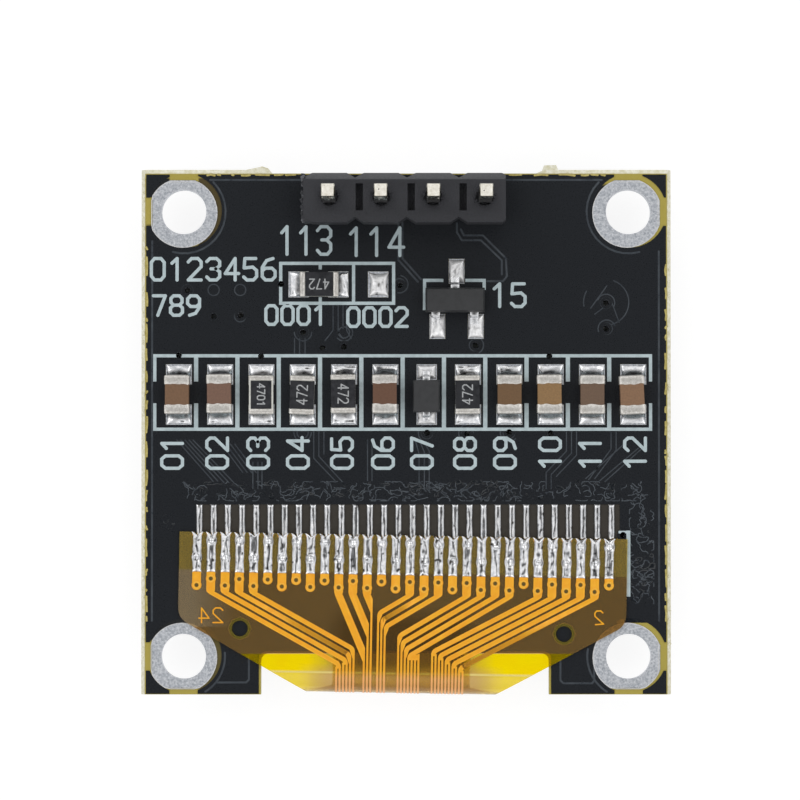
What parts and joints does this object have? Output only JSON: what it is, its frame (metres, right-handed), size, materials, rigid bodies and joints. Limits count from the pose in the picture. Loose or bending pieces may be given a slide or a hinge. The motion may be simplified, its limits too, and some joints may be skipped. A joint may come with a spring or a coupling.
{
  "type": "small oled module",
  "caption": "Small OLED display module on a dark circuit board, lying display down, with a pin header, chip parts and a folded flex cable soldered to its back.",
  "frame": {"origin": "centre of the four mounting holes, on the plane of the display face that the module lies on", "axes": "+Z out of the component side along the header pins, +Y towards the header edge, +X to the right when the component side is seen with the header at the top"},
  "size_m": [0.0262, 0.0262, 0.0113],
  "materials": {
    "adhesive": "double-sided foam adhesive",
    "laminate": "glass-epoxy laminate, fibrous where it is cut",
    "tinned_copper": "tinned copper",
    "capacitor_ceramic": "brown fired ceramic",
    "chip_metal": "tinned metal ends",
    "solder": "tin solder, slightly mottled",
    "mould_compound": "black moulding compound",
    "silicon": "bare silicon",
    "copper": "copper under film",
    "polyimide": "brown polyimide film",
    "panel_glass": "clear display glass",
    "seal": "cured glass seal",
    "header_plastic": "black moulded plastic, satin",
    "pin_metal": "brass with a bright plating",
    "legend": "white printed ink",
    "pixel_layers": "dark thin films",
    "polarizer": "black glossy polarizer",
    "resistor_ceramic": "white alumina",
    "overcoat": "black overcoat",
    "solder_mask": "black solder mask, satin gloss"
  },
  "bodies": {
    "root": {"adhesive_pad": "adhesive", "board_laminate": "laminate", "board_lands": "tinned_copper", "capacitor_c1_body": "capacitor_ceramic", "capacitor_c1_ends": "chip_metal", "capacitor_c2_body": "capacitor_ceramic", "capacitor_c2_ends": "chip_metal", "capacitor_c3_body": "capacitor_ceramic", "capacitor_c3_ends": "chip_metal", "capacitor_c4_body": "capacitor_ceramic", "capacitor_c4_ends": "chip_metal", "capacitor_c5_body": "capacitor_ceramic", "capacitor_c5_ends": "chip_metal", "capacitor_c6_body": "capacitor_ceramic", "capacitor_c6_ends": "chip_metal", "capacitor_c9_body": "capacitor_ceramic", "capacitor_c9_ends": "chip_metal", "chip_solder": "solder", "diode_body": "mould_compound", "diode_leads": "chip_metal", "driver_chip": "silicon", "flex_copper": "copper", "flex_film": "polyimide", "flex_lands": "tinned_copper", "flex_solder": "solder", "front_glass": "panel_glass", "glass_seal": "seal", "header_housing": "header_plastic", "header_pin_1": "pin_metal", "header_pin_2": "pin_metal", "header_pin_3": "pin_metal", "header_pin_4": "pin_metal", "header_solder": "solder", "legend_back": "legend", "mounting_ring_1": "tinned_copper", "mounting_ring_2": "tinned_copper", "mounting_ring_3": "tinned_copper", "mounting_ring_4": "tinned_copper", "pixel_layers": "pixel_layers", "polarizer": "polarizer", "rear_glass": "panel_glass", "regulator_body": "mould_compound", "regulator_leads": "chip_metal", "resistor_r10_body": "resistor_ceramic", "resistor_r10_coat": "overcoat", "resistor_r10_ends": "chip_metal", "resistor_r11_body": "resistor_ceramic", "resistor_r11_coat": "overcoat", "resistor_r11_ends": "chip_metal", "resistor_r5_body": "resistor_ceramic", "resistor_r5_coat": "overcoat", "resistor_r5_ends": "chip_metal", "resistor_r6_body": "resistor_ceramic", "resistor_r6_coat": "overcoat", "resistor_r6_ends": "chip_metal", "resistor_r7_body": "resistor_ceramic", "resistor_r7_coat": "overcoat", "resistor_r7_ends": "chip_metal", "solder_mask_back": "solder_mask", "solder_mask_front": "solder_mask"}
  },
  "joints": []
}
